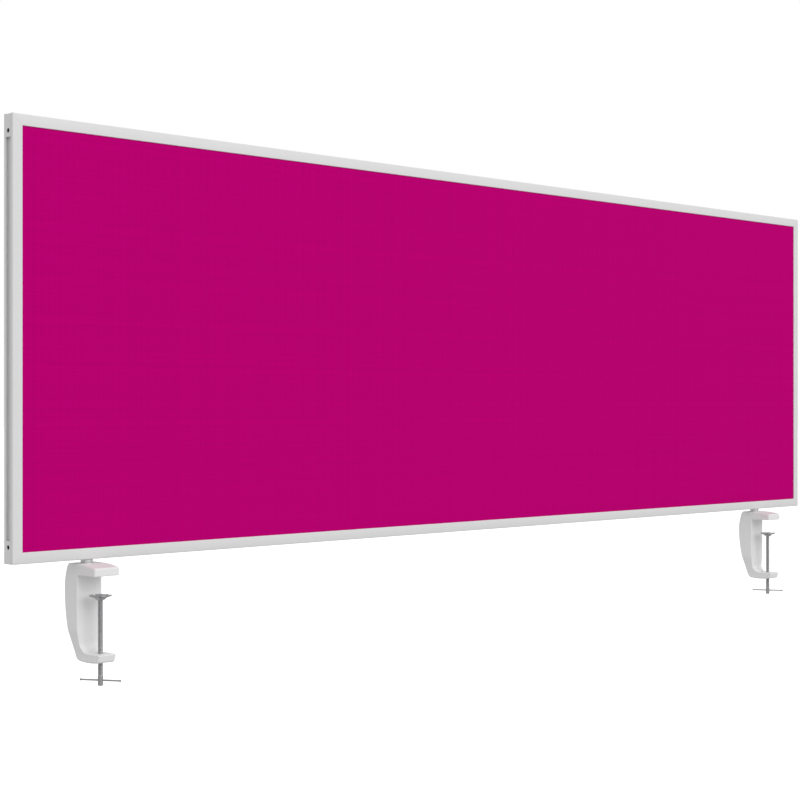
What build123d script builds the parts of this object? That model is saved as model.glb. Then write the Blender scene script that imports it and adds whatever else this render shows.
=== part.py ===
from build123d import *
import os
from math import cos, radians, sin, sqrt, tan

os.makedirs("parts", exist_ok=True)

# Desk privacy panel: a mitred aluminium frame round a fabric-covered board, standing on two desk clamps.
# +X runs along the panel, -Y points at the desk that the clamps grip, +Z is up. The origin is on the
# desk top, under the middle of the panel. All sizes are in millimetres and all angles in degrees.

# ---- Driving dimensions: the panel ----
panel_length = 1600.0
panel_height = 500.0
panel_thickness = 18.0
panel_lift = 17.5           # from the desk top to the underside of the frame

# ---- Driving dimensions: the frame profile ----
face_width = 13.0           # width of the frame seen from the front
side_wall = 1.5             # front and rear walls, which stand proud of the fabric by this much
channel_opening = 10.0      # mouth of the T-slot that runs round the outside
channel_lip = 1.4           # thickness of the two lips beside the mouth
channel_undercut = 1.5      # how far the slot reaches behind each lip
channel_depth = 3.8         # from the outside to the floor of the slot
channel_web = 1.4           # wall between the slot and the infill groove
outer_round = 1.2
lip_round = 0.6

# ---- Driving dimensions: the infill ----
fabric_thickness = 1.0
infill_gap = 0.4            # room left at the bottom of the groove on every side

# ---- Driving dimensions: the corner joiners ----
joiner_leg = 26.0
joiner_fit = 0.2            # each side of the joiner and of the slide nut in the slot
joiner_floor_gap = 0.4      # what the grub screws push the joiner off the floor by
grub_from_corner = 19.0
grub_diameter = 5.0
grub_socket = 2.5           # across the flats
grub_socket_depth = 2.0
grub_recess = 0.3

# ---- Driving dimensions: the clamp casting ----
left_clamp_inset = 105.0    # from the left end of the panel to the middle of the left clamp
right_clamp_inset = 123.0
clamp_width = 34.5
stud_to_desk_edge = 5.5     # the stud stands this far behind the face that meets the desk edge
upper_jaw_reach = 34.5
upper_jaw_tip = 9.6         # thickness at the tip
lower_jaw_reach = 35.5
lower_jaw_thickness = 9.2   # at the tip
lower_jaw_belly = 1.8       # how much thicker the lower jaw is in its middle
lower_jaw_width = 24.0
lower_jaw_tip_rake = 2.5    # how far the tip leans in towards its bottom edge
throat = 88.8               # opening between the two jaws
spine_crest_depth = 25.9    # from the desk edge face to the back of the spine
spine_crest_drop = 17.0     # the spine is deepest this far under the desk top
spine_upper_radius = 71.0
spine_lower_radius = 182.0
spine_heel_lean = 15.6      # the back leans forward by this angle where it runs down to the heel
heel_radius = 9.0
throat_lower_radius = 12.0
throat_upper_radius = 3.0
top_flat_front = 8.0        # the level top ends this far in front of the stud
top_back_depth = 12.5       # and this far behind it
top_back_radius = 3.0
taper_start = 63.0          # under the desk top, where the spine begins to narrow
taper_end = 91.0
taper_blend = 30.0
casting_edge = 2.3          # rounding along the outer edges of the casting
mouth_edge = 1.0            # rounding round the faces that look into the mouth of the clamp
tip_edge = 2.6              # rounding across the top of the upper tip, no less than casting_edge
tip_round = 3.5             # and at the lower tip's bottom edge

# ---- Driving dimensions: the clamp's fittings ----
thread_diameter = 6.0       # M6 for the stud and for the clamp screw
thread_fit = 0.05           # radial gap between a screw and its tapped hole
collar_diameter = 14.0
collar_height = 4.3
collar_clearance = 0.2      # radial, round the stud
collar_chamfer = 0.4
stud_depth = 11.0           # length of stud inside the casting
stud_hole_spare = 1.0
nut_length = 20.0
nut_plate = 2.0             # thickness of the part of the slide nut behind the lips
face_gap = 0.05             # between faces that turn or slide on each other

screw_from_desk_edge = 21.1
plate_gap = 21.9            # from the upper jaw to the rim of the pressure plate, as it stands
plate_diameter = 26.0
plate_sheet = 1.3
plate_hub_diameter = 9.6    # flat bottom of the plate's cup
plate_cup_slope = 46.0      # the wall of the cup rises at this angle
plate_cup_diameter = 14.8   # and meets the flange here
plate_flange_slope = 17.0
plate_notch_width = 3.2
plate_notch_floor = 7.6     # radius at which each notch ends
plate_lobes = 4
rivet_diameter = 4.0
rivet_fit = 0.1
rivet_head_diameter = 7.0
rivet_head_height = 1.4
screw_end_drop = 125.4      # lower end of the screw, under the desk top
screw_chamfer = 0.6
bar_above_end = 6.3         # tommy bar, above the lower end of the screw
bar_diameter = 2.0
bar_length = 50.0
bar_end_diameter = 2.7
bar_end_length = 1.6
bar_turn = -59.0            # direction of the tommy bar, from +X

# ---- Places worked out from the sizes above ----
half_length = panel_length / 2
panel_middle = panel_lift + panel_height / 2
slot_width = channel_opening + 2 * channel_undercut
groove_floor = channel_depth + channel_web
groove_width = panel_thickness - 2 * side_wall
left_clamp_x = -half_length + left_clamp_inset
right_clamp_x = half_length - right_clamp_inset
desk_edge_y = -stud_to_desk_edge
screw_y = desk_edge_y - screw_from_desk_edge
seat_z = panel_lift - collar_height
bar_drop = screw_end_drop - bar_above_end
plate_cup_rise = (plate_cup_diameter - plate_hub_diameter) / 2 * tan(radians(plate_cup_slope))
plate_flange_rise = (plate_diameter - plate_cup_diameter) / 2 * tan(radians(plate_flange_slope))
plate_depth = plate_cup_rise + plate_flange_rise + plate_sheet / cos(radians(plate_flange_slope))
plate_underside_z = -plate_gap - plate_depth
quarter_turn = 90.0
touch = 0.01                # points closer than this count as the same
standing = (Align.CENTER, Align.CENTER, Align.MIN)
hanging = (Align.CENTER, Align.CENTER, Align.MAX)


def export(shape, node):
    """Write one named sub-part."""
    shape.label = node
    export_step(shape, f"parts/{node}.step")


# ---- Frame rails ----

def rail_section():
    """Cross-section of the frame: X is the panel's thickness, Y runs inward from the outer face."""
    centre_low = (Align.CENTER, Align.MIN)
    section = Rectangle(panel_thickness, face_width, align=centre_low)
    section -= Rectangle(channel_opening, channel_lip, align=centre_low)
    slot = Rectangle(slot_width, channel_depth - channel_lip, align=centre_low)
    section -= Pos(0, channel_lip) * slot
    groove = Rectangle(groove_width, face_width - groove_floor, align=centre_low)
    section -= Pos(0, groove_floor) * groove
    for depth, radius in ((0, outer_round), (face_width, lip_round)):
        corners = [(side * panel_thickness / 2, depth, 0) for side in (-1, 1)]
        nearest = [section.vertices().sort_by_distance(corner)[0] for corner in corners]
        section = fillet(nearest, radius)
    return section


def rail(length):
    """One mitred rail along X, its outer face on Z = 0 and its infill groove opening upwards."""
    bar = extrude(Plane.YZ * rail_section(), amount=length / 2, both=True)
    mitre_outline = Polyline(
        (-length / 2, 0),
        (length / 2, 0),
        (length / 2 - face_width, face_width),
        (-length / 2 + face_width, face_width),
        close=True,
    )
    mitre = extrude(Plane.XZ * make_face(mitre_outline), amount=panel_thickness, both=True)
    return bar & mitre


def place_on_side(shape, turn, across, up):
    """Turn a shape made for the bottom edge about Y and move it to its own edge of the panel."""
    return Pos(across, 0, up) * Rot(0, turn, 0) * shape


frame_rails = {
    "frame_bottom_rail": (panel_length, 0, 0, panel_lift),
    "frame_top_rail": (panel_length, 2 * quarter_turn, 0, panel_lift + panel_height),
    "frame_left_stile": (panel_height, quarter_turn, -half_length, panel_middle),
    "frame_right_stile": (panel_height, -quarter_turn, half_length, panel_middle),
}
for node, (length, turn, across, up) in frame_rails.items():
    export(place_on_side(rail(length), turn, across, up), node)


# ---- Corner joiners and their grub screws ----

def joiner_layer(outer, inner, width):
    """An L of the given width whose two legs lie between two depths from the outside."""
    outline = Polyline(
        (outer, outer),
        (joiner_leg, outer),
        (joiner_leg, inner),
        (inner, inner),
        (inner, joiner_leg),
        (outer, joiner_leg),
        close=True,
    )
    return extrude(Plane.XZ * make_face(outline), amount=width / 2, both=True)


def both_legs(shape):
    """The same shape on the lower leg of a joiner and on its upright leg."""
    upright = mirror(shape, about=Plane((0, 0, 0), x_dir=(0, 1, 0), z_dir=(1, 0, -1)))
    return [shape, upright]


def corner_joiner():
    """L-shaped joiner of the lower left corner, with its outer corner at the origin."""
    flange_floor = channel_depth - joiner_floor_gap
    neck = joiner_layer(0, flange_floor, channel_opening - 2 * joiner_fit)
    flange = joiner_layer(channel_lip, flange_floor, slot_width - 2 * joiner_fit)
    joiner = neck + flange
    outer_corner = joiner.edges().filter_by(Axis.Y).sort_by_distance((0, 0, 0))[0]
    joiner = fillet(outer_corner, outer_round)
    hole = Cylinder(grub_diameter / 2 + thread_fit, 2 * channel_depth)
    for tapped_hole in both_legs(Pos(grub_from_corner, 0, 0) * hole):
        joiner -= tapped_hole
    return joiner


def grub_screw():
    """Grub screw of the lower leg, standing on the floor of the slot, its socket facing outwards."""
    screw = Cylinder(grub_diameter / 2, channel_depth - grub_recess, align=standing)
    socket_outline = RegularPolygon(grub_socket / 2, 6, major_radius=False)
    screw -= extrude(socket_outline, amount=grub_socket_depth)
    return Pos(grub_from_corner, 0, grub_recess) * screw


lower_left = Location((-half_length, 0, panel_lift))
joiner = corner_joiner()
grub_pair = both_legs(grub_screw())
left_to_right = Plane.YZ
lower_to_upper = Plane.XY.offset(panel_middle)
all_grub_screws = []
for end in ("left", "right"):
    for level in ("lower", "upper"):
        corner_solids = [lower_left * solid for solid in [joiner, *grub_pair]]
        if end == "right":
            corner_solids = [mirror(solid, about=left_to_right) for solid in corner_solids]
        if level == "upper":
            corner_solids = [mirror(solid, about=lower_to_upper) for solid in corner_solids]
        export(corner_solids[0], f"corner_joiner_{level}_{end}")
        all_grub_screws += corner_solids[1:]
export(Compound(children=all_grub_screws), "corner_grub_screws")


# ---- Infill: a board with a fabric on each face ----

infill_length = panel_length - 2 * (groove_floor + infill_gap)
infill_height = panel_height - 2 * (groove_floor + infill_gap)
core_thickness = groove_width - 2 * fabric_thickness
export(Pos(0, 0, panel_middle) * Box(infill_length, core_thickness, infill_height), "core_board")
fabric_sheet = Box(infill_length, fabric_thickness, infill_height)
fabric_y = (core_thickness + fabric_thickness) / 2
export(Pos(0, -fabric_y, panel_middle) * fabric_sheet, "front_fabric")
export(Pos(0, fabric_y, panel_middle) * fabric_sheet, "rear_fabric")


# ---- Clamp casting, made with its stud axis on Z ----

def casting_outline():
    """Side outline of the casting in the YZ plane."""
    crest_y = desk_edge_y + spine_crest_depth
    crest_z = -spine_crest_drop
    upper_rise = seat_z - top_back_radius - crest_z
    upper_set_in = spine_upper_radius - sqrt(spine_upper_radius**2 - upper_rise**2)
    shoulder = (crest_y - upper_set_in, seat_z - top_back_radius)
    lean = radians(spine_heel_lean)
    run_out = (
        crest_y - spine_lower_radius * (1 - cos(lean)),
        crest_z - spine_lower_radius * sin(lean),
    )
    heel_z = -throat - lower_jaw_thickness
    heel = (run_out[0] - (run_out[1] - heel_z) * sin(lean) / cos(lean), heel_z)
    upper_tip_y = desk_edge_y - upper_jaw_reach
    lower_tip_y = desk_edge_y - lower_jaw_reach
    lower_tip = (lower_tip_y + lower_jaw_tip_rake, heel_z)
    belly = ((heel[0] + lower_tip[0]) / 2, heel_z - lower_jaw_belly)

    top_front = (-top_flat_front, seat_z)
    top_back = (top_back_depth, seat_z)
    back = Line(top_back, shoulder)
    upper_back = RadiusArc(shoulder, (crest_y, crest_z), spine_upper_radius)
    lower_back = RadiusArc((crest_y, crest_z), run_out, spine_lower_radius)
    heel_run = Line(run_out, heel)
    sole = ThreePointArc(heel, belly, lower_tip)
    tip_top = (upper_tip_y, upper_jaw_tip)
    front = Polyline(
        lower_tip,
        (lower_tip_y, -throat),
        (desk_edge_y, -throat),
        (desk_edge_y, 0),
        (upper_tip_y, 0),
        tip_top,
    )
    nose = TangentArc(top_front, tip_top, tangent=(-1, 0))
    top = Line(top_back, top_front)
    outline = make_face([back, upper_back, lower_back, heel_run, sole, front, nose, top])

    def round_at(face, point, radius):
        corner = face.vertices().sort_by_distance((point[0], point[1], 0))[0]
        return fillet(corner, radius)

    outline = round_at(outline, heel, heel_radius)
    outline = round_at(outline, lower_tip, tip_round)
    outline = round_at(outline, tip_top, tip_edge)
    outline = round_at(outline, (desk_edge_y, -throat), throat_lower_radius)
    outline = round_at(outline, (desk_edge_y, 0), throat_upper_radius)
    outline = round_at(outline, top_back, top_back_radius)
    return outline


def casting_front():
    """Front outline in the XZ plane: full width above, narrowing to the lower jaw."""
    half = clamp_width / 2
    low_half = lower_jaw_width / 2
    top = seat_z
    bottom = -throat - 2 * lower_jaw_thickness
    outline = Polyline(
        (half, top),
        (half, -taper_start),
        (low_half, -taper_end),
        (low_half, bottom),
        (-low_half, bottom),
        (-low_half, -taper_end),
        (-half, -taper_start),
        (-half, top),
        close=True,
    )
    face = make_face(outline)
    bends = face.vertices().filter_by(lambda v: -taper_end - 1 < v.Y < -taper_start + 1)
    return fillet(bends, taper_blend)


def faces_the_mouth(point):
    """Whether a point of the casting lies on the inside of its C, from one jaw's tip to the other's."""
    on_jaw = min(abs(point.Z), abs(point.Z + throat)) < touch and point.Y < desk_edge_y + touch
    bend = max(throat_lower_radius, throat_upper_radius)
    on_spine = -throat < point.Z < 0 and abs(point.Y - desk_edge_y + bend / 2) < bend / 2 + touch
    return on_jaw or on_spine


def side_edges(body):
    """Edges where the two sides of the casting meet its outline, left out where side meets side."""
    widest_hole = thread_diameter + 2 * thread_fit + touch
    sides = [face for face in body.faces() if abs(face.normal_at().X) > 0.9 and face.bounding_box().size.Y > widest_hole]
    seen = {}
    for face in sides:
        for edge in face.edges():
            middle = edge.center()
            key = (round(middle.X, 3), round(middle.Y, 3), round(middle.Z, 3))
            seen.setdefault(key, []).append(edge)
    return [edges[0] for edges in seen.values() if len(edges) == 1]


def mouth_edges(body):
    """The closed line of edges round the faces that look into the mouth, without the seams between them."""
    found = []
    for edge in body.edges():
        start, middle, end = (edge.position_at(share) for share in (0, 0.5, 1))
        runs_across = max(abs(start.Y - end.Y), abs(start.Z - end.Z)) < touch
        at_tip = start.Y < desk_edge_y - min(upper_jaw_reach, lower_jaw_reach) + touch
        is_hole = edge.is_closed
        if all(map(faces_the_mouth, (start, middle, end))) and not is_hole and (at_tip or not runs_across):
            found.append(edge)
    return found


def clamp_body():
    """The cast C-shaped body with its blind stud hole and the tapped hole for the clamp screw."""
    side = extrude(Plane.YZ * casting_outline(), amount=clamp_width, both=True)
    casting_depth = upper_jaw_reach + spine_crest_depth
    front = extrude(Plane.XZ * casting_front(), amount=2 * casting_depth, both=True)
    tapped = thread_diameter / 2 + thread_fit
    through = 2 * (lower_jaw_thickness + 2 * lower_jaw_belly)
    body = side & front
    body -= Pos(0, 0, seat_z) * Cylinder(tapped, stud_depth + stud_hole_spare, align=hanging)
    body -= Pos(0, screw_y, -throat) * Cylinder(tapped, through)
    body = fillet([edge for edge in side_edges(body) if not faces_the_mouth(edge.center())], casting_edge)
    return fillet(mouth_edges(body), mouth_edge)


# ---- Fittings between the casting and the frame ----

def spacer_collar():
    """Round collar between the casting and the lips of the frame."""
    height = collar_height - face_gap
    collar = Cylinder(collar_diameter / 2, height, align=standing)
    collar = chamfer(collar.edges().filter_by(GeomType.CIRCLE), collar_chamfer)
    collar -= Cylinder(thread_diameter / 2 + collar_clearance, height, align=standing)
    return Pos(0, 0, seat_z) * collar


def mounting_stud():
    """Double-ended stud from the casting, through the collar, into the slide nut."""
    bottom = seat_z - stud_depth
    top = panel_lift + channel_lip + nut_plate
    return Pos(0, 0, bottom) * Cylinder(thread_diameter / 2, top - bottom, align=standing)


def slide_nut():
    """Nut in the slot of the bottom rail, with a neck that fills the mouth of the slot."""
    neck_width = channel_opening - 2 * joiner_fit
    plate_width = slot_width - 2 * joiner_fit
    neck_height = channel_lip - face_gap
    neck = Box(nut_length, neck_width, neck_height, align=standing)
    plate = Pos(0, 0, neck_height) * Box(nut_length, plate_width, nut_plate + face_gap, align=standing)
    nut = Pos(0, 0, panel_lift + face_gap) * (neck + plate)
    tapped = Cylinder(thread_diameter / 2 + thread_fit, collar_height, align=standing)
    return nut - Pos(0, 0, panel_lift) * tapped


# ---- Clamp screw, its pressure plate and its tommy bar ----

def pressure_plate():
    """Stamped dish of constant thickness: a flat hub, a cup wall, a flange, and notches that part its lobes."""
    slopes = [0, radians(plate_cup_slope), radians(plate_flange_slope)]
    bore = rivet_diameter / 2 + rivet_fit
    hub = plate_hub_diameter / 2
    cup = plate_cup_diameter / 2
    rim = plate_diameter / 2
    under = [(bore, 0), (hub, 0), (cup, plate_cup_rise), (rim, plate_cup_rise + plate_flange_rise)]
    upper = [(rim, plate_depth)]
    for bend in (2, 1):
        below, above = slopes[bend - 1], slopes[bend]
        mitre = plate_sheet / cos((above - below) / 2)
        middle = (above + below) / 2
        upper.append((under[bend][0] - mitre * sin(middle), under[bend][1] + mitre * cos(middle)))
    upper.append((bore, plate_sheet))
    dish = revolve(Plane.XZ * make_face(Polyline(*under, *upper, close=True)), axis=Axis.Z)
    notch_centre = plate_notch_floor + plate_notch_width / 2
    notch = Pos(notch_centre, 0, 0) * Cylinder(plate_notch_width / 2, 4 * plate_depth)
    notch += Pos(notch_centre + rim / 2, 0, 0) * Box(rim, plate_notch_width, 4 * plate_depth)
    for lobe in range(plate_lobes):
        dish -= Rot(0, 0, lobe * 360 / plate_lobes) * notch
    return Pos(0, screw_y, plate_underside_z) * dish


def clamp_screw():
    """Screw with a riveted neck that holds the pressure plate, and a cross hole for the bar."""
    shoulder_z = plate_underside_z - face_gap
    head_z = plate_underside_z + plate_sheet + face_gap
    shank = Cylinder(thread_diameter / 2, shoulder_z + screw_end_drop, align=standing)
    shank = chamfer(shank.edges().filter_by(GeomType.CIRCLE), screw_chamfer)
    neck = Cylinder(rivet_diameter / 2, head_z - shoulder_z + screw_chamfer, align=standing)
    head = Cylinder(rivet_head_diameter / 2, rivet_head_height, align=standing)
    head = fillet(head.edges().filter_by(GeomType.CIRCLE).sort_by(Axis.Z)[-1], rivet_head_height / 2)
    screw = Pos(0, 0, -screw_end_drop) * shank
    screw += Pos(0, 0, shoulder_z - screw_chamfer) * neck
    screw += Pos(0, 0, head_z) * head
    cross_hole = Cylinder(bar_diameter / 2 + thread_fit, 2 * thread_diameter)
    screw -= Pos(0, 0, -bar_drop) * Rot(0, 0, bar_turn) * Rot(0, quarter_turn, 0) * cross_hole
    return Pos(0, screw_y, 0) * screw


def tommy_bar():
    """Bar through the end of the screw, with upset ends that keep it in its hole."""
    bar = Cylinder(bar_diameter / 2, bar_length - bar_end_length)
    end = Cylinder(bar_end_diameter / 2, bar_end_length)
    end = fillet(end.edges().filter_by(GeomType.CIRCLE), bar_end_length / 4)
    for side in (-1, 1):
        bar += Pos(0, 0, side * (bar_length - bar_end_length) / 2) * end
    return Pos(0, screw_y, -bar_drop) * Rot(0, 0, bar_turn) * Rot(0, quarter_turn, 0) * bar


clamp_pieces = {
    "clamp_body": clamp_body(),
    "spacer_collar": spacer_collar(),
    "mounting_stud": mounting_stud(),
    "slide_nut": slide_nut(),
    "pressure_plate": pressure_plate(),
    "clamp_screw": clamp_screw(),
    "tommy_bar": tommy_bar(),
}
for side, clamp_x in (("left", left_clamp_x), ("right", right_clamp_x)):
    for node, piece in clamp_pieces.items():
        export(Pos(clamp_x, 0, 0) * piece, f"{side}_{node}")
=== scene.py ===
# %% [markdown]
# # A desk privacy panel on two screw clamps
# The real object is a board covered in fabric, held in a slim white frame. Two cast clamps hang under
# the frame and grip the edge of a desk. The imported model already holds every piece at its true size
# and place, so the first step loads it, and everything after it works in that same space, in metres.

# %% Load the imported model
from math import atan2, cos, exp, pi, radians, sin, tan

import bmesh
import bpy
from mathutils import Matrix, Vector


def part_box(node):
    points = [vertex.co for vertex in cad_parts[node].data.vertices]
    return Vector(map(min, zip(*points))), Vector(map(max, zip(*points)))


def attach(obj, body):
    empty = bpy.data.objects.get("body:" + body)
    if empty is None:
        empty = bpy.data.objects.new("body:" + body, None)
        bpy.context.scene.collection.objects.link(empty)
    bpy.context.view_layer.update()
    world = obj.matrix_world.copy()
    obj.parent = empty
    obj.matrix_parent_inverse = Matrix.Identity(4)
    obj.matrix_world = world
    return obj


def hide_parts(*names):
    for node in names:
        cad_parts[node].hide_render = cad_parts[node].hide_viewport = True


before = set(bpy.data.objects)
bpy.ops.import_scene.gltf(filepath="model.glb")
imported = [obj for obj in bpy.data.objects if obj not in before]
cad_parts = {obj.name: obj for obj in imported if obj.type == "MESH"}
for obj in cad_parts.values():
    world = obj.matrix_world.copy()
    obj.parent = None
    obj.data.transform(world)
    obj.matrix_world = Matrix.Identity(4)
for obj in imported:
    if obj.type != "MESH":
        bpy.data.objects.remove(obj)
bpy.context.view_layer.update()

mm = 0.001

# %% [markdown]
# ## Camera
# A long lens, set level at the height of the panel's lower half, shows the front of the panel and its
# left end at about 45 degrees. A level lens draws every upright edge as an upright line, and the small
# vertical shift moves the picture without tilting the camera.

# %% Camera
SENSOR = 36
LENS = 79.56
LENS_SHIFT = 0.00525
STAND = (-1.8895, -1.6839, 0.1952)
HEADING = -45.40

camera_data = bpy.data.cameras.new("camera")
camera_data.sensor_width = SENSOR
camera_data.lens = LENS
camera_data.shift_y = LENS_SHIFT
camera_data.clip_start = 0.05
camera_data.clip_end = 200
camera = bpy.data.objects.new("camera", camera_data)
camera.location = STAND
camera.rotation_euler = (radians(90), 0, radians(HEADING))
bpy.context.scene.collection.objects.link(camera)
bpy.context.scene.camera = camera
print("lens", LENS, "mm, standing at", STAND)

# %% [markdown]
# ## Small helpers for node trees
# Materials and Geometry Nodes are both trees of small steps. These helpers add one step at a time and
# wire it up, so that a formula in a tree takes a line instead of five.

# %% Helpers for node trees
def wire(tree, socket, value):
    """Feed a socket from another socket, or give it a fixed value."""
    if isinstance(value, bpy.types.NodeSocket):
        tree.links.new(value, socket)
    else:
        socket.default_value = value


def calc(tree, operation, *values):
    """One Math node; returns its result."""
    node = tree.nodes.new("ShaderNodeMath")
    node.operation = operation
    for socket, value in zip(node.inputs, values):
        wire(tree, socket, value)
    return node.outputs[0]


def remap(tree, value, low, high, to_low=0.0, to_high=1.0):
    """Map a range of values onto another and stop at its ends."""
    node = tree.nodes.new("ShaderNodeMapRange")
    names = ("Value", "From Min", "From Max", "To Min", "To Max")
    for name, setting in zip(names, (value, low, high, to_low, to_high)):
        wire(tree, node.inputs[name], setting)
    return node.outputs["Result"]


def seen_by_camera(tree, otherwise, seen):
    """One value for what the camera sees directly, and another for light that bounces."""
    path = tree.nodes.new("ShaderNodeLightPath")
    return remap(tree, path.outputs["Is Camera Ray"], 0.0, 1.0, otherwise, seen)


def new_tree(name, kind, takes, gives):
    """An empty tree with named inputs (name, socket type, start value) and named outputs."""
    tree = bpy.data.node_groups.new(name, kind)
    for label, socket, start in takes:
        made = tree.interface.new_socket(label, in_out="INPUT", socket_type="NodeSocket" + socket)
        if start is not None:
            made.default_value = start
    for label, socket in gives:
        tree.interface.new_socket(label, in_out="OUTPUT", socket_type="NodeSocket" + socket)
    return tree, tree.nodes.new("NodeGroupInput").outputs, tree.nodes.new("NodeGroupOutput").inputs


print("helpers for trees are ready")

# %% [markdown]
# ## Studio
# The studio is a white floor, a desk's height below the clamps, under a plain white sky. Both look
# white to the camera but light the object less than that, so one large soft light in front and above
# can give each face its own shade. The Light Path node tells the camera's own rays from light that
# bounces: the floor glows only for the camera, and the sky is a little dimmer for everything else.

# %% Floor, sky and light
FLOOR_DROP = 0.74
FLOOR_REACH = 60
FLOOR_GRAY = 0.55
FLOOR_GLOW = 0.85
SKY_LIGHT = 0.80
WHITE = (1, 1, 1, 1)

bpy.context.scene.view_settings.view_transform = "Standard"

floor_mesh = bpy.data.meshes.new("studio_floor")
square = ((-1, -1), (1, -1), (1, 1), (-1, 1))
corners = [(x * FLOOR_REACH, y * FLOOR_REACH, -FLOOR_DROP) for x, y in square]
floor_mesh.from_pydata(corners, [], [(0, 1, 2, 3)])
floor = bpy.data.objects.new("studio_floor", floor_mesh)
bpy.context.scene.collection.objects.link(floor)

floor_paint = bpy.data.materials.new("studio_white")
floor_paint.use_nodes = True
shader = floor_paint.node_tree.nodes["Principled BSDF"]
shader.inputs["Base Color"].default_value = (FLOOR_GRAY, FLOOR_GRAY, FLOOR_GRAY, 1)
shader.inputs["Roughness"].default_value = 0.9
shader.inputs["Specular IOR Level"].default_value = 0.0
shader.inputs["Emission Color"].default_value = WHITE
glow = seen_by_camera(floor_paint.node_tree, 0.0, FLOOR_GLOW)
wire(floor_paint.node_tree, shader.inputs["Emission Strength"], glow)
floor_mesh.materials.append(floor_paint)

sky = bpy.data.worlds.new("studio_sky")
bpy.context.scene.world = sky
sky.use_nodes = True
background = sky.node_tree.nodes["Background"]
background.inputs["Color"].default_value = WHITE
wire(sky.node_tree, background.inputs["Strength"], seen_by_camera(sky.node_tree, SKY_LIGHT, 1.0))

KEY_PLACE = Vector((-0.5, -5.2, 3.2))
KEY_AIM = Vector((0, 0, 0.2))
KEY_SIZE = 4.2
KEY_POWER = 122

key_data = bpy.data.lights.new("key_light", "AREA")
key_data.shape = "SQUARE"
key_data.size = KEY_SIZE
key_data.energy = KEY_POWER
key_light = bpy.data.objects.new("key_light", key_data)
key_light.location = KEY_PLACE
key_light.rotation_euler = (KEY_AIM - KEY_PLACE).to_track_quat("-Z", "Y").to_euler()
bpy.context.scene.collection.objects.link(key_light)
print("sky", SKY_LIGHT, "floor glow", FLOOR_GLOW, "key light", KEY_POWER, "watts")

# %% [markdown]
# ## Finishes
# Powder coat is a plastic powder baked onto metal. Up close it has a soft orange-peel ripple under a
# millimetre across, and its tone drifts a little over a long rail. The frame and the clamps both have
# it, so the effect is a shader node group, built once and placed in each material with its own values.
# Object coordinates keep the ripple at its true size on every piece.

# %% Powder coat, as a group
def object_place(tree):
    """Where a point lies on the object, in metres."""
    return tree.nodes.new("ShaderNodeTexCoord").outputs["Object"]


def noise(tree, place, scale, detail=2.0, roughness=0.5):
    """A Noise Texture; returns its value."""
    node = tree.nodes.new("ShaderNodeTexNoise")
    names = ("Vector", "Scale", "Detail", "Roughness")
    for name, setting in zip(names, (place, scale, detail, roughness)):
        wire(tree, node.inputs[name], setting)
    return node.outputs["Fac"]


def shaded(tree, color, factor):
    """A colour made lighter or darker by a factor."""
    node = tree.nodes.new("ShaderNodeVectorMath")
    node.operation = "SCALE"
    wire(tree, node.inputs[0], color)
    wire(tree, node.inputs["Scale"], factor)
    return node.outputs[0]


def around_one(tree, value, spread):
    """Turn a noise value near 0.5 into a factor near 1."""
    offset = calc(tree, "MULTIPLY", calc(tree, "SUBTRACT", value, 0.5), spread)
    return calc(tree, "ADD", offset, 1.0)


CLOUDS_PER_METRE = 9.0
SMUDGES_PER_METRE = 60.0

coat_group, takes, gives = new_tree(
    "powder_coat_texture", "ShaderNodeTree",
    takes=[("Color", "Color", None), ("Tone drift", "Float", 0.03), ("Roughness", "Float", 0.5),
           ("Roughness drift", "Float", 0.1), ("Peel size", "Float", 0.8 * mm)],
    gives=[("Color", "Color"), ("Roughness", "Float"), ("Height", "Float")])
tree = coat_group
place = object_place(tree)
lighter = around_one(tree, noise(tree, place, CLOUDS_PER_METRE), takes["Tone drift"])
rougher = around_one(tree, noise(tree, place, SMUDGES_PER_METRE), takes["Roughness drift"])
peel = noise(tree, place, calc(tree, "DIVIDE", 1.0, takes["Peel size"]), detail=1.0)
wire(tree, gives["Color"], shaded(tree, takes["Color"], lighter))
wire(tree, gives["Roughness"], calc(tree, "MULTIPLY", takes["Roughness"], rougher))
wire(tree, gives["Height"], peel)
print("group", coat_group.name, "with", len(coat_group.nodes), "nodes")

# %% [markdown]
# The screws, plates and bars are zinc-plated steel. Turning and drawing leave fine lines across or
# along the metal, and the plating is a little cloudy. The same group serves all of them: it is told
# how long the lines are along each axis.

# %% Worked steel, as a group
PLATING_PER_METRE = 320.0

steel_group, takes, gives = new_tree(
    "worked_steel_texture", "ShaderNodeTree",
    takes=[("Color", "Color", None), ("Stretch", "Vector", (200.0, 200.0, 4000.0)),
           ("Line contrast", "Float", 0.12), ("Roughness", "Float", 0.3),
           ("Cloud contrast", "Float", 0.3)],
    gives=[("Color", "Color"), ("Roughness", "Float"), ("Height", "Float")])
tree = steel_group
place = object_place(tree)
stretched = tree.nodes.new("ShaderNodeVectorMath")
stretched.operation = "MULTIPLY"
wire(tree, stretched.inputs[0], place)
wire(tree, stretched.inputs[1], takes["Stretch"])
lines = noise(tree, stretched.outputs[0], 1.0)
lighter = around_one(tree, lines, takes["Line contrast"])
rougher = around_one(tree, noise(tree, place, PLATING_PER_METRE, detail=3.0), takes["Cloud contrast"])
wire(tree, gives["Color"], shaded(tree, takes["Color"], lighter))
wire(tree, gives["Roughness"], calc(tree, "MULTIPLY", takes["Roughness"], rougher))
wire(tree, gives["Height"], lines)
print("group", steel_group.name, "with", len(steel_group.nodes), "nodes")

# %% [markdown]
# A material places one of the groups, feeds its outputs to a Principled BSDF, and sends the height
# through a Bump node. Values that are the same all over the surface are set on the shader itself.

# %% Materials of coat and steel
def new_material(name):
    """A material, its tree, and the inputs of its shader."""
    material = bpy.data.materials.new(name)
    material.use_nodes = True
    return material, material.node_tree, material.node_tree.nodes["Principled BSDF"].inputs


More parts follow.
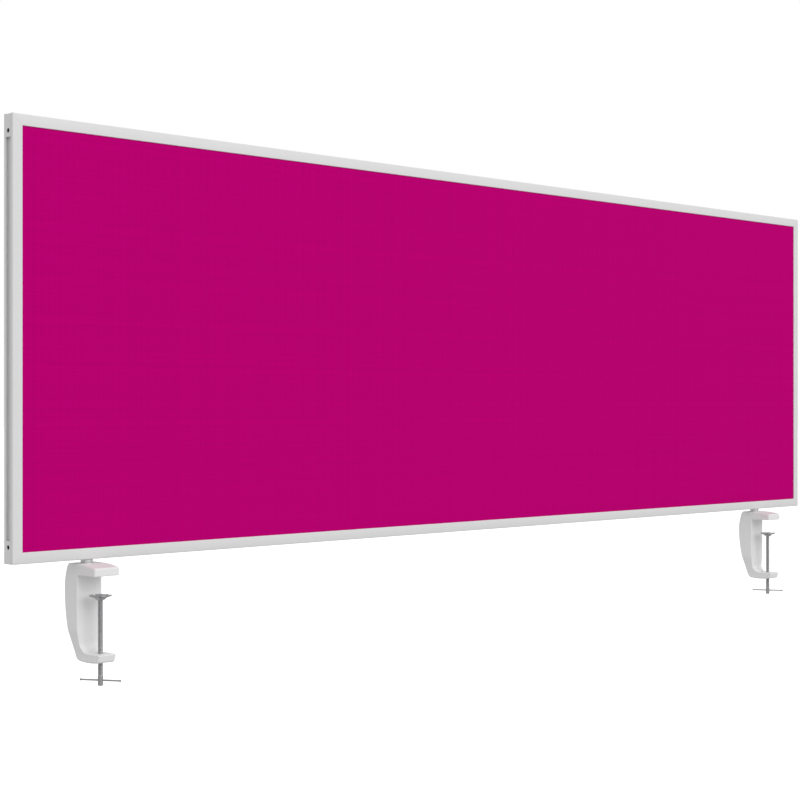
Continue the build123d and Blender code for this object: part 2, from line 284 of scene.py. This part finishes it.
def place_group(tree, group, values):
    """Put a group into a material with its own values; returns its outputs."""
    node = tree.nodes.new("ShaderNodeGroup")
    node.node_tree = group
    for name, value in values.items():
        node.inputs[name].default_value = value
    return node.outputs


def add_bump(tree, shader, height, distance, amount=1.0):
    """Let a height tilt the shading, as if the surface rose by that distance."""
    bump = tree.nodes.new("ShaderNodeBump")
    bump.inputs["Distance"].default_value = distance
    bump.inputs["Strength"].default_value = amount
    wire(tree, bump.inputs["Height"], height)
    wire(tree, shader["Normal"], bump.outputs["Normal"])


def grouped_material(name, group, values, metallic, bump_depth):
    """A material whose colour, roughness and height come from one of the groups."""
    material, tree, shader = new_material(name)
    outputs = place_group(tree, group, values)
    wire(tree, shader["Base Color"], outputs["Color"])
    wire(tree, shader["Roughness"], outputs["Roughness"])
    shader["Metallic"].default_value = metallic
    add_bump(tree, shader, outputs["Height"], bump_depth)
    return material


frame_coat = grouped_material(
    "frame_powder_coat", coat_group,
    {"Color": (0.735, 0.735, 0.735, 1), "Tone drift": 0.03, "Roughness": 0.48,
     "Peel size": 0.9 * mm},
    metallic=0.0, bump_depth=0.02 * mm)
clamp_coat = grouped_material(
    "clamp_powder_coat", coat_group,
    {"Color": (0.83, 0.83, 0.83, 1), "Tone drift": 0.04, "Roughness": 0.42,
     "Peel size": 1.3 * mm},
    metallic=0.0, bump_depth=0.04 * mm)
screw_steel = grouped_material(
    "zinc_plated_screw", steel_group,
    {"Color": (0.48, 0.48, 0.49, 1), "Stretch": (300.0, 300.0, 5000.0), "Roughness": 0.22},
    metallic=1.0, bump_depth=0.01 * mm)
bar_steel = grouped_material(
    "zinc_plated_bar", steel_group,
    {"Color": (0.42, 0.42, 0.43, 1), "Stretch": (900.0, 900.0, 900.0), "Roughness": 0.32},
    metallic=1.0, bump_depth=0.01 * mm)
plate_steel = grouped_material(
    "bright_stamped_steel", steel_group,
    {"Color": (0.42, 0.42, 0.43, 1), "Stretch": (500.0, 500.0, 500.0), "Roughness": 0.18,
     "Line contrast": 0.06},
    metallic=1.0, bump_depth=0.005 * mm)
collar_metal = grouped_material(
    "turned_collar", steel_group,
    {"Color": (0.70, 0.70, 0.70, 1), "Stretch": (100.0, 100.0, 6000.0), "Roughness": 0.35,
     "Line contrast": 0.08},
    metallic=1.0, bump_depth=0.008 * mm)
grub_steel = grouped_material(
    "black_grub_screw", steel_group,
    {"Color": (0.035, 0.035, 0.037, 1), "Stretch": (900.0, 900.0, 900.0), "Roughness": 0.4},
    metallic=0.6, bump_depth=0.01 * mm)
print("materials:", [material.name for material in bpy.data.materials])

# %% [markdown]
# The fabric is a plain weave of wool yarn, one thread over and one under, with about a millimetre and a
# half from thread to thread. Each thread is a small ridge that rises where it crosses over and sinks
# where it goes under. Sine waves of X and Z give those ridges, and each yarn gets its own slight shade
# from a White Noise node, which is what makes real cloth look alive up close and plain from afar.

# %% Fabric
YARN = 1.5 * mm
FIBRES_PER_METRE = 2600.0
WOBBLES_PER_METRE = 260.0
WOBBLE = 0.25
WEFT_SEED, WARP_SEED = 31.5, 7.5
# Painted shade in the weave's hollows and a painted highlight on its crowns, as factors on the cloth's
# colour.
PAINTED_HOLLOW_SHADE, PAINTED_CROWN_LIGHT = 0.80, 1.03
FUZZ = 0.35
CLOTH_COLOR = (0.515, 0.0, 0.172, 1)

weave_group, takes, gives = new_tree(
    "plain_weave", "ShaderNodeTree",
    takes=[("Color", "Color", None), ("Yarn spacing", "Float", YARN), ("Yarn contrast", "Float", 0.1)],
    gives=[("Color", "Color"), ("Height", "Float"), ("Roughness", "Float")])
tree = weave_group
place = object_place(tree)
wobble = noise(tree, place, WOBBLES_PER_METRE, detail=1.0)
split = tree.nodes.new("ShaderNodeSeparateXYZ")
wire(tree, split.inputs[0], place)
shift = calc(tree, "MULTIPLY", calc(tree, "SUBTRACT", wobble, 0.5), WOBBLE)
across = calc(tree, "ADD", calc(tree, "DIVIDE", split.outputs["X"], takes["Yarn spacing"]), shift)
along = calc(tree, "ADD", calc(tree, "DIVIDE", split.outputs["Z"], takes["Yarn spacing"]), shift)


def yarns(tree, side, length):
    """Height of one set of yarns: round across each yarn, over and under along it."""
    ridge = calc(tree, "ABSOLUTE", calc(tree, "SINE", calc(tree, "MULTIPLY", side, pi)))
    turn = calc(tree, "ADD", length, calc(tree, "FLOOR", side))
    over = calc(tree, "COSINE", calc(tree, "MULTIPLY", turn, pi))
    plump = calc(tree, "POWER", ridge, 0.6)
    return calc(tree, "MULTIPLY", plump, remap(tree, over, -1.0, 1.0, 0.15, 1.0))


def yarn_shade(tree, side, seed):
    """One random shade per yarn."""
    node = tree.nodes.new("ShaderNodeTexWhiteNoise")
    node.noise_dimensions = "1D"
    wire(tree, node.inputs["W"], calc(tree, "ADD", calc(tree, "FLOOR", side), seed))
    return node.outputs["Value"]


warp = yarns(tree, across, calc(tree, "SUBTRACT", along, 0.5))
weft = yarns(tree, along, calc(tree, "ADD", across, 0.5))
on_top = calc(tree, "GREATER_THAN", warp, weft)
height = calc(tree, "MAXIMUM", warp, weft)
shade = tree.nodes.new("ShaderNodeMix")
wire(tree, shade.inputs["Factor"], on_top)
wire(tree, shade.inputs["A"], yarn_shade(tree, along, WEFT_SEED))
wire(tree, shade.inputs["B"], yarn_shade(tree, across, WARP_SEED))
fibre = noise(tree, place, FIBRES_PER_METRE, roughness=0.7)
tone = calc(tree, "MULTIPLY", around_one(tree, shade.outputs["Result"], takes["Yarn contrast"]),
            around_one(tree, fibre, takes["Yarn contrast"]))
# Painted shade and highlight: the colour is darkened where the weave sinks and lightened a little where
# it rises.
painted_weave_shade = remap(tree, height, 0.0, 0.8, PAINTED_HOLLOW_SHADE, PAINTED_CROWN_LIGHT)
wire(tree, gives["Color"], shaded(tree, takes["Color"], calc(tree, "MULTIPLY", tone, painted_weave_shade)))
wire(tree, gives["Height"], calc(tree, "ADD", height, calc(tree, "MULTIPLY", fibre, FUZZ)))
wire(tree, gives["Roughness"], remap(tree, fibre, 0.3, 0.7, 0.85, 1.0))

cloth, tree, shader = new_material("magenta_wool_cloth")
outputs = place_group(tree, weave_group, {"Color": CLOTH_COLOR})
wire(tree, shader["Base Color"], outputs["Color"])
wire(tree, shader["Roughness"], outputs["Roughness"])
shader["Specular IOR Level"].default_value = 0.02
shader["Sheen Weight"].default_value = 0.02
shader["Sheen Roughness"].default_value = 0.45
shader["Sheen Tint"].default_value = (0.9, 0.1, 0.4, 1)
add_bump(tree, shader, outputs["Height"], 0.12 * mm, 0.8)
print("cloth weave has", len(weave_group.nodes), "nodes")

# %% [markdown]
# ## Building pieces
# Every new piece is a plain mesh whose object sits at the origin. These helpers make one from points
# and faces, turn one on a lathe, join or cut one with another, and round its edges.

# %% Helpers for pieces
def add_object(name, data, material=None):
    """Put mesh or curve data into the scene as an object with one material."""
    piece = bpy.data.objects.new(name, data)
    bpy.context.scene.collection.objects.link(piece)
    if material:
        data.materials.clear()
        data.materials.append(material)
    return piece


def from_bmesh(name, built, material=None):
    """Turn hand-built points and faces into a piece with its faces all turned outward."""
    mesh = bpy.data.meshes.new(name)
    bmesh.ops.recalc_face_normals(built, faces=built.faces)
    built.to_mesh(mesh)
    built.free()
    return add_object(name, mesh, material)


def as_plain_mesh(piece):
    """Apply a piece's modifiers and keep the result as its mesh."""
    graph = bpy.context.evaluated_depsgraph_get()
    result = bpy.data.meshes.new_from_object(piece.evaluated_get(graph))
    old = piece.data
    piece.modifiers.clear()
    piece.data = result
    result.name = piece.name
    bpy.data.meshes.remove(old)
    return piece


def smooth(piece, angle=35):
    """Shade smooth, but keep edges sharper than an angle crisp."""
    piece.data.shade_smooth()
    piece.data.set_sharp_from_angle(angle=radians(angle))
    return piece


def turned(built, outline, centre, steps):
    """Turn a closed outline of (radius, height) points about an upright axis at centre."""
    rings = []
    for radius, height in outline:
        if radius == 0:
            rings.append([built.verts.new((centre[0], centre[1], centre[2] + height))])
            continue
        ring = []
        for step in range(steps):
            angle = 2 * pi * step / steps
            x, y = centre[0] + radius * cos(angle), centre[1] + radius * sin(angle)
            ring.append(built.verts.new((x, y, centre[2] + height)))
        rings.append(ring)
    for first, second in zip(rings, rings[1:] + rings[:1]):
        for step in range(steps):
            after = (step + 1) % steps
            loop = (first[step % len(first)], first[after % len(first)],
                    second[after % len(second)], second[step % len(second)])
            unique = list(dict.fromkeys(loop))
            if len(unique) > 2:
                built.faces.new(unique)


def merged(piece, other, operation="UNION"):
    """Join another shape to a piece, or take it out of the piece, and throw the other away."""
    change = piece.modifiers.new("merge", "BOOLEAN")
    change.operation = operation
    change.solver = "EXACT"
    change.object = other
    as_plain_mesh(piece)
    bpy.data.objects.remove(other)
    return piece


def round_edges(piece, width, steps, angle):
    """Bevel every edge sharper than an angle."""
    bevel = piece.modifiers.new("round", "BEVEL")
    bevel.width = width
    bevel.segments = steps
    bevel.limit_method = "ANGLE"
    bevel.angle_limit = radians(angle)
    return as_plain_mesh(piece)


def grow(name, tree, values, material):
    """Run a Geometry Nodes tree with named values and keep its result as a plain mesh."""
    piece = add_object(name, bpy.data.meshes.new(name))
    modifier = piece.modifiers.new(name, "NODES")
    modifier.node_group = tree
    values = {**values, "Material": material}
    for item in tree.interface.items_tree:
        if item.in_out == "INPUT" and item.name in values:
            modifier[item.identifier] = values[item.name]
    as_plain_mesh(piece)
    print(name, "has", len(piece.data.vertices), "points")
    return piece


def finish_tree(tree, geometry, material, out):
    """Every Geometry Nodes tree here ends the same way: its shape gets a material and goes out."""
    real = tree.nodes.new("GeometryNodeRealizeInstances")
    painted = tree.nodes.new("GeometryNodeSetMaterial")
    wire(tree, real.inputs[0], geometry)
    wire(tree, painted.inputs["Geometry"], real.outputs[0])
    wire(tree, painted.inputs["Material"], material)
    wire(tree, out, painted.outputs[0])


print("helpers for pieces are ready")

# %% [markdown]
# ## Frame
# The four rails are one aluminium extrusion, cut at 45 degrees and joined at the corners, so a rail
# follows a rule: a profile swept along a line, with each end sheared until it is as deep as the
# profile. Geometry Nodes can say just that. The profile has a T-slot outside, which the clamps slide
# in, and a groove inside, which holds the board. A hair of bevel at the cuts makes the mitres show.

# %% Rail profile
rail_low, rail_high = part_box("frame_bottom_rail")
stile_low, stile_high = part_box("frame_left_stile")
LENGTH = rail_high.x - rail_low.x
FACE = rail_high.z - rail_low.z
HEIGHT = stile_high.z - stile_low.z
BOTTOM = rail_low.z
MIDDLE = BOTTOM + HEIGHT / 2

# Corners of half the profile in mm: distance from its middle, depth, and radius of the corner.
RIM = [(5.0, 0.0, 0.3), (9.0, 0.0, 1.2), (9.0, 13.0, 0.6), (7.5, 13.0, 0.3), (7.5, 5.2, 0.3)]
SLOT = [(6.5, 3.8, 0.3), (6.5, 1.4, 0.3), (5.0, 1.4, 0.3)]


def mirrored(points):
    """The other half of a symmetrical outline, in the order that continues it."""
    return [(-x, y, radius) for x, y, radius in reversed(points)]


def rounded(points, steps=3):
    """Round each corner (x, y, radius) of a closed outline with an arc of a few points."""
    outline = []
    neighbours = zip(points[-1:] + points[:-1], points, points[1:] + points[:1])
    for before, (x, y, radius), after in neighbours:
        corner = Vector((x, y))
        to_before = (Vector(before[:2]) - corner).normalized()
        to_after = (Vector(after[:2]) - corner).normalized()
        half = to_before.angle(to_after) / 2
        centre = corner + (to_before + to_after).normalized() * (radius / sin(half))
        start = corner + to_before * (radius / tan(half)) - centre
        end = corner + to_after * (radius / tan(half)) - centre
        sweep = (atan2(end.y, end.x) - atan2(start.y, start.x) + pi) % (2 * pi) - pi
        turns = [Matrix.Rotation(sweep * step / steps, 2) for step in range(steps + 1)]
        outline += [centre + turn @ start for turn in turns]
    return outline


rail_outline = rounded(RIM + mirrored(RIM) + mirrored(SLOT) + SLOT)
profile_curve = bpy.data.curves.new("rail_profile", "CURVE")
profile_curve.dimensions = "2D"
spline = profile_curve.splines.new("POLY")
spline.points.add(len(rail_outline) - 1)
for point, (across_mm, depth_mm) in zip(spline.points, reversed(rail_outline)):
    point.co = (across_mm * mm, -depth_mm * mm, 0, 1)
spline.use_cyclic_u = True
profile_object = add_object("rail_profile", profile_curve)
print("rail profile:", len(rail_outline), "points")
print("panel:", round(LENGTH / mm), "x", round(HEIGHT / mm), "mm")

# %% [markdown]
# A rail is swept along a straight line through its outer face. Every point is then moved toward the
# rail's middle by its own depth, which shears both ends to 45 degrees, and the rail is turned and set
# in its place.

# %% Mitred rails grown from the profile
MITRE_BEVEL = 0.12 * mm

rail_tree, takes, gives = new_tree(
    "mitred_rail", "GeometryNodeTree",
    takes=[("Profile", "Object", None), ("Length", "Float", 1.0), ("Turn", "Vector", (0, 0, 0)),
           ("Middle", "Vector", (0, 0, 0)), ("Material", "Material", None)],
    gives=[("Geometry", "Geometry")])
tree = rail_tree
shape = tree.nodes.new("GeometryNodeObjectInfo")
wire(tree, shape.inputs["Object"], takes["Profile"])
axis = tree.nodes.new("GeometryNodeCurvePrimitiveLine")
for socket, share in (("Start", -0.5), ("End", 0.5)):
    end = tree.nodes.new("ShaderNodeCombineXYZ")
    wire(tree, end.inputs["X"], calc(tree, "MULTIPLY", takes["Length"], share))
    wire(tree, axis.inputs[socket], end.outputs[0])
swept = tree.nodes.new("GeometryNodeCurveToMesh")
wire(tree, swept.inputs["Curve"], axis.outputs[0])
wire(tree, swept.inputs["Profile Curve"], shape.outputs["Geometry"])
swept.inputs["Fill Caps"].default_value = True
where = tree.nodes.new("ShaderNodeSeparateXYZ")
wire(tree, where.inputs[0], tree.nodes.new("GeometryNodeInputPosition").outputs[0])
shear = tree.nodes.new("ShaderNodeCombineXYZ")
inward = calc(tree, "MULTIPLY", calc(tree, "SIGN", where.outputs["X"]), -1.0)
wire(tree, shear.inputs["X"], calc(tree, "MULTIPLY", inward, where.outputs["Z"]))
mitred = tree.nodes.new("GeometryNodeSetPosition")
wire(tree, mitred.inputs["Geometry"], swept.outputs[0])
wire(tree, mitred.inputs["Offset"], shear.outputs[0])
placed = tree.nodes.new("GeometryNodeTransform")
wire(tree, placed.inputs["Geometry"], mitred.outputs[0])
wire(tree, placed.inputs["Translation"], takes["Middle"])
wire(tree, placed.inputs["Rotation"], takes["Turn"])
finish_tree(tree, placed.outputs[0], takes["Material"], gives[0])

rails = {
    "bottom_rail": (LENGTH, 0.0, (0, 0, BOTTOM)),
    "top_rail": (LENGTH, pi, (0, 0, BOTTOM + HEIGHT)),
    "left_stile": (HEIGHT, pi / 2, (-LENGTH / 2, 0, MIDDLE)),
    "right_stile": (HEIGHT, -pi / 2, (LENGTH / 2, 0, MIDDLE)),
}
for name, (length, turn, middle) in rails.items():
    values = {"Profile": profile_object, "Length": length, "Turn": (0, turn, 0), "Middle": middle}
    piece = grow(name, rail_tree, values, frame_coat)
    round_edges(piece, MITRE_BEVEL, steps=1, angle=40)
    smooth(piece, 40)
    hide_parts("frame_" + name)
    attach(piece, "panel")
bpy.data.objects.remove(profile_object)

# %% [markdown]
# ## Fabric
# One cloth is stretched over each face of the board, and its edges are tucked into the frame's groove.
# Under its own padding it swells by half a millimetre just inside the frame, so the frame has a soft
# shadow line all round. A grid that is fine near the frame and coarse elsewhere holds that shape with
# few faces, and Solidify gives the cloth its millimetre of thickness.

# %% Two stretched sheets
PUFF = 0.5 * mm
PUFF_RUN = 2.2 * mm
COARSE = 40 * mm
# Distances of the fine rows and columns from the cloth's edge, in mm.
EDGE_STEPS = (0, 2.6, 5.2, 6.4, 7.0, 7.4, 7.9, 8.5, 9.3, 10.4, 12, 14, 17, 22, 30)


def fine_near_ends(low, high):
    """Positions from low to high, close together near both ends."""
    near = [low + step * mm for step in EDGE_STEPS]
    far = [high - step * mm for step in reversed(EDGE_STEPS)]
    gap = far[0] - near[-1]
    count = round(gap / COARSE)
    return near + [near[-1] + gap * i / count for i in range(1, count)] + far


def swell(inside):
    """Share of the full swelling at a distance inside the frame's edge."""
    return 1 - exp(-inside / PUFF_RUN) if inside > 0 else 0.0


def cloth_sheet(name, node, outward):
    """A swollen cloth in place of a flat one; outward is -1 for the front and 1 for the rear."""
    low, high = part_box(node)
    face = low.y if outward < 0 else high.y
    columns = fine_near_ends(low.x, high.x)
    rows = fine_near_ends(low.z, high.z)
    built = bmesh.new()
    grid = []
    for z in rows:
        above = min(z - BOTTOM, BOTTOM + HEIGHT - z) - FACE
        line = []
        for x in columns:
            beside = LENGTH / 2 - abs(x) - FACE
            y = face + outward * PUFF * swell(above) * swell(beside)
            line.append(built.verts.new((x, y, z)))
        grid.append(line)
    for lower, upper in zip(grid, grid[1:]):
        for left in range(len(columns) - 1):
            corners = (lower[left], lower[left + 1], upper[left + 1], upper[left])
            built.faces.new(corners if outward < 0 else reversed(corners))
    mesh = bpy.data.meshes.new(name)
    built.to_mesh(mesh)
    built.free()
    piece = add_object(name, mesh, cloth)
    thickness = piece.modifiers.new("thickness", "SOLIDIFY")
    thickness.thickness = high.y - low.y
    thickness.offset = -1
    as_plain_mesh(piece)
    smooth(piece)
    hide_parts(node)
    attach(piece, "panel")
    width, height = high.x - low.x, high.z - low.z
    print(name, "is", round(width / mm, 1), "x", round(height / mm, 1), "mm")


cloth_sheet("front_cloth", "front_fabric", -1)
cloth_sheet("rear_cloth", "rear_fabric", 1)

# %% [markdown]
# ## Clamp screws
# Each clamp has an M6 screw. A thread is a rule: the surface moves in and out with height, and the
# pattern climbs by one pitch in each full turn. The tree below takes a plain rod with many rings and
# pulls each point in by that rule, so the thread is real shape. It fades out near its ends, and both
# ends of the rod are chamfered.

# %% Thread, as a Geometry Nodes tree
ROD_SIDES = 32
CREST_END, ROOT_START = 0.25, 0.875
FADE_TURNS = 1.6

thread_tree, takes, gives = new_tree(
    "threaded_rod", "GeometryNodeTree",
    takes=[("Radius", "Float", 3 * mm), ("Pitch", "Float", 1 * mm), ("Depth", "Float", 0.55 * mm),
           ("Length", "Float", 0.1), ("Plain foot", "Float", 0.01), ("Plain top", "Float", 0.002),
           ("Chamfer", "Float", 0.6 * mm), ("Rings per turn", "Int", 8), ("Foot", "Vector", (0, 0, 0)),
           ("Material", "Material", None)],
    gives=[("Geometry", "Geometry")])
tree = thread_tree
rod = tree.nodes.new("GeometryNodeMeshCylinder")
wire(tree, rod.inputs["Vertices"], ROD_SIDES)
turns = calc(tree, "DIVIDE", takes["Length"], takes["Pitch"])
wire(tree, rod.inputs["Side Segments"], calc(tree, "MULTIPLY", turns, takes["Rings per turn"]))
wire(tree, rod.inputs["Radius"], takes["Radius"])
wire(tree, rod.inputs["Depth"], takes["Length"])
where = tree.nodes.new("ShaderNodeSeparateXYZ")
wire(tree, where.inputs[0], tree.nodes.new("GeometryNodeInputPosition").outputs[0])
half_length = calc(tree, "MULTIPLY", takes["Length"], 0.5)
height = calc(tree, "ADD", where.outputs["Z"], half_length)
angle = calc(tree, "ARCTAN2", where.outputs["Y"], where.outputs["X"])
turned_by = calc(tree, "DIVIDE", angle, 2 * pi)
climbed = calc(tree, "SUBTRACT", calc(tree, "DIVIDE", height, takes["Pitch"]), turned_by)
from_root = calc(tree, "ABSOLUTE", calc(tree, "SUBTRACT", calc(tree, "FRACT", climbed), 0.5))
from_crest = calc(tree, "SUBTRACT", 1.0, calc(tree, "MULTIPLY", from_root, 2.0))
groove = calc(tree, "MULTIPLY", remap(tree, from_crest, CREST_END, ROOT_START), takes["Depth"])
fade = calc(tree, "MULTIPLY", takes["Pitch"], FADE_TURNS)
to_top = calc(tree, "SUBTRACT", calc(tree, "SUBTRACT", takes["Length"], height), takes["Plain top"])
past_foot = calc(tree, "SUBTRACT", height, takes["Plain foot"])
groove = calc(tree, "MULTIPLY", groove, remap(tree, past_foot, 0.0, fade))
groove = calc(tree, "MULTIPLY", groove, remap(tree, to_top, 0.0, fade))
nearest_end = calc(tree, "MINIMUM", height, calc(tree, "SUBTRACT", takes["Length"], height))
bevelled = calc(tree, "MAXIMUM", calc(tree, "SUBTRACT", takes["Chamfer"], nearest_end), 0.0)
pulled_in = calc(tree, "DIVIDE", calc(tree, "ADD", groove, bevelled), takes["Radius"])
inward = tree.nodes.new("ShaderNodeCombineXYZ")
for axis in ("X", "Y"):
    pull = calc(tree, "MULTIPLY", pulled_in, -1.0)
    wire(tree, inward.inputs[axis], calc(tree, "MULTIPLY", where.outputs[axis], pull))
cut_thread = tree.nodes.new("GeometryNodeSetPosition")
wire(tree, cut_thread.inputs["Geometry"], rod.outputs["Mesh"])
wire(tree, cut_thread.inputs["Offset"], inward.outputs[0])
lift = tree.nodes.new("ShaderNodeCombineXYZ")
wire(tree, lift.inputs["Z"], half_length)
centre = tree.nodes.new("ShaderNodeVectorMath")
wire(tree, centre.inputs[0], lift.outputs[0])
wire(tree, centre.inputs[1], takes["Foot"])
placed = tree.nodes.new("GeometryNodeTransform")
wire(tree, placed.inputs["Geometry"], cut_thread.outputs[0])
wire(tree, placed.inputs["Translation"], centre.outputs[0])
finish_tree(tree, placed.outputs[0], takes["Material"], gives[0])
print("thread tree has", len(tree.nodes), "nodes")

# %% [markdown]
# The top of the screw is turned down to a short neck with a domed head, which holds the pressure plate
# and lets it swivel. The neck and head are turned as a separate outline and then merged with the rod. A
# hole is drilled across the foot for the tommy bar.

# %% Screws
BAR_ABOVE_FOOT = 6.3 * mm
BAR_TURN = radians(-59)
BAR_HOLE = 1.05 * mm
BAR_HOLE_REACH = 5 * mm
PLAIN_FOOT = 11 * mm
PLAIN_TOP = 0.3 * mm
PLATE_GAP = 0.05 * mm
# Neck and head in mm: radius, and height above the shoulder that carries the plate.
HEAD = [(0, -0.6), (2.0, -0.6), (2.0, 1.45), (3.3, 1.45), (3.5, 1.65),
        (3.5, 2.1), (3.2, 2.5), (2.5, 2.75), (1.4, 2.85), (0, 2.85)]


def plain_rod(name, radius, start, end):
    """A plain round rod between two points, for cutting holes."""
    built = bmesh.new()
    axis = end - start
    turn = axis.to_track_quat("Z", "Y").to_matrix().to_4x4()
    bmesh.ops.create_cone(
        built, cap_ends=True, segments=24, radius1=radius, radius2=radius, depth=axis.length,
        matrix=Matrix.Translation((start + end) / 2) @ turn)
    return from_bmesh(name, built)


for side in ("left", "right"):
    low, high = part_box(f"{side}_clamp_screw")
    plate_low, plate_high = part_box(f"{side}_pressure_plate")
    foot = Vector(((low.x + high.x) / 2, (low.y + high.y) / 2, low.z))
    shoulder = plate_low.z - PLATE_GAP
    values = {"Length": shoulder - low.z, "Plain foot": PLAIN_FOOT, "Plain top": PLAIN_TOP,
              "Foot": foot}
    piece = grow(f"{side}_threaded_screw", thread_tree, values, screw_steel)
    built = bmesh.new()
    outline = [(radius * mm, height * mm) for radius, height in HEAD]
    turned(built, outline, (foot.x, foot.y, shoulder), steps=48)
    merged(piece, from_bmesh("screw_head", built))
    hole = foot + Vector((0, 0, BAR_ABOVE_FOOT))
    along = Vector((cos(BAR_TURN), sin(BAR_TURN), 0)) * BAR_HOLE_REACH
    merged(piece, plain_rod("bar_hole", BAR_HOLE, hole - along, hole + along), "DIFFERENCE")
    smooth(piece, 50)
    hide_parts(f"{side}_clamp_screw")
    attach(piece, f"{side}_screw")
    print(piece.name, "faces:", len(piece.data.polygons))

# %% [markdown]
# ## Pressure plates
# Each plate is pressed from one sheet: a flat hub, a short cup wall, and a flange that spreads out. Four
# notches part it into four lobes, so that it sits firmly on an uneven desk. It is turned on a lathe from
# an outline with soft bends, then the notches are cut with a rounded cutter, and the raw edges are
# eased.

# %% Plates
# All in mm: radii of the bore, the hub, the cup's mouth and the rim, and the sheet's thickness.
BORE, HUB, CUP, RIM_RADIUS, SHEET = 2.1, 4.8, 7.4, 13.0, 1.3
CUP_SLOPE, FLANGE_SLOPE = radians(46), radians(17)
NOTCHES, NOTCH_FLOOR, NOTCH_WIDTH, NOTCH_FLARE = 4, 7.6, 3.2, 0.8
CUTTER_REACH, CUTTER_BOTTOM, CUTTER_TOP = 16.0, -3, 12
PLATE_BEVEL = 0.18 * mm
cup_rise = (CUP - HUB) * tan(CUP_SLOPE)
rim_rise = cup_rise + (RIM_RADIUS - CUP) * tan(FLANGE_SLOPE)


def above_bend(radius, height, low_slope, high_slope):
    """The point on the upper side of the sheet over a bend of its under side."""
    middle = (low_slope + high_slope) / 2
    reach = SHEET / cos((high_slope - low_slope) / 2)
    return radius - reach * sin(middle), height + reach * cos(middle)


under_side = [(BORE, 0, 0.1), (HUB, 0, 2.2), (CUP, cup_rise, 1.6), (RIM_RADIUS, rim_rise, 0.4)]
upper_side = [
    (RIM_RADIUS, rim_rise + SHEET / cos(FLANGE_SLOPE), 0.4),
    (*above_bend(CUP, cup_rise, CUP_SLOPE, FLANGE_SLOPE), 2.6),
    (*above_bend(HUB, 0, 0, CUP_SLOPE), 1.2),
    (BORE, SHEET, 0.1),
]
plate_outline = rounded(under_side + upper_side, steps=5)


def notch_outline():
    """A slot seen from above: a round floor, straight sides, and a mouth that flares."""
    half, flare = NOTCH_WIDTH / 2, NOTCH_FLARE
    floor = [radians(180 - 9 * step) for step in range(11)]
    mouth = [radians(15 * step) for step in range(1, 7)]
    side = [(NOTCH_FLOOR + half + half * cos(a), half * sin(a)) for a in floor]
    side += [(RIM_RADIUS - flare / 2 + flare * sin(a), half + flare - flare * cos(a)) for a in mouth]
    side.append((CUTTER_REACH, half + flare))
    return side + [(x, -y) for x, y in reversed(side[1:])]


def notch_cutter(name, centre):
    """Upright slots all round, whose flared mouths leave the lobes with round corners."""
    built = bmesh.new()
    outline = notch_outline()
    for turn in range(NOTCHES):
        spin = Matrix.Rotation(2 * pi * turn / NOTCHES, 4, "Z")
        rings = []
        for z in (CUTTER_BOTTOM, CUTTER_TOP):
            points = [Vector(centre) + (spin @ Vector((x, y, z))) * mm for x, y in outline]
            rings.append([built.verts.new(point) for point in points])
            built.faces.new(rings[-1])
        for i in range(len(outline)):
            after = (i + 1) % len(outline)
            built.faces.new((rings[0][i], rings[0][after], rings[1][after], rings[1][i]))
    return from_bmesh(name, built)


for side in ("left", "right"):
    low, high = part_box(f"{side}_pressure_plate")
    centre = ((low.x + high.x) / 2, (low.y + high.y) / 2, low.z)
    built = bmesh.new()
    turned(built, [(point.x * mm, point.y * mm) for point in plate_outline], centre, steps=96)
    piece = from_bmesh(f"{side}_stamped_plate", built, plate_steel)
    merged(piece, notch_cutter("notches", centre), "DIFFERENCE")
    round_edges(piece, PLATE_BEVEL, steps=2, angle=50)
    smooth(piece, 40)
    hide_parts(f"{side}_pressure_plate")
    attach(piece, f"{side}_plate")
    print(piece.name, "faces:", len(piece.data.polygons))

# %% [markdown]
# ## Finishes of the other pieces
# The castings, collars, studs, nuts, bars, corner joiners and grub screws already have their right
# shape, so they stay as they are and only get their finish.

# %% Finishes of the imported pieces
BOARD_COLOR = (0.36, 0.24, 0.13)
FLECKS_PER_METRE = 700.0

board, tree, shader = new_material("fibre_board")
flecks = noise(tree, object_place(tree), FLECKS_PER_METRE, detail=3.0)
wire(tree, shader["Base Color"], shaded(tree, BOARD_COLOR, around_one(tree, flecks, 0.5)))
shader["Roughness"].default_value = 0.85

finishes = {
    "corner_joiner": frame_coat, "corner_grub_screws": grub_steel, "core_board": board,
    "clamp_body": clamp_coat, "spacer_collar": collar_metal, "mounting_stud": screw_steel,
    "slide_nut": bar_steel, "tommy_bar": bar_steel,
}
for name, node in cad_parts.items():
    for ending, finish in finishes.items():
        if ending in name:
            node.data.materials.clear()
            node.data.materials.append(finish)
            print(name, "->", finish.name)
